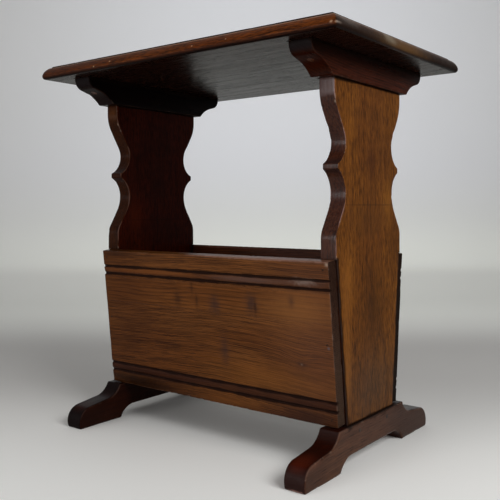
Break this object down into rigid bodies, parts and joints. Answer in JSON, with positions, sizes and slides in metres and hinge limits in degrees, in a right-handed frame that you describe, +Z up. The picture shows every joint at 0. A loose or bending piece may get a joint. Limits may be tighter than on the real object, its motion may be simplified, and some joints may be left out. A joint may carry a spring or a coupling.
{
  "type": "side table",
  "caption": "Rectangular oak side table with a moulded top, two shaped end panels on sledge feet and a magazine trough with sloping grooved boards between them.",
  "frame": {"origin": "on the floor under the middle of the table", "axes": "+X along the table's length, +Y from the front to the back, +Z up"},
  "size_m": [0.491, 0.329, 0.51],
  "materials": {
    "oak_top": "dark stained oak, waxed",
    "oak_panel": "dark stained oak, waxed",
    "oak_foot": "dark stained oak, waxed",
    "oak_trough": "dark stained oak, waxed",
    "steel": "dull, slightly rusted"
  },
  "bodies": {
    "root": {"top_board": "oak_top", "cleat_left": "oak_top", "cleat_right": "oak_top", "end_panel_left": "oak_panel", "end_panel_right": "oak_panel", "foot_left": "oak_foot", "foot_right": "oak_foot", "trough_front_board": "oak_trough", "trough_back_board": "oak_trough", "trough_bottom_board": "oak_trough", "cleat_screws": "steel", "screw_plugs": "oak_top", "foot_pegs": "oak_foot", "front_board_nails": "steel", "back_board_nails": "steel"}
  },
  "joints": []
}
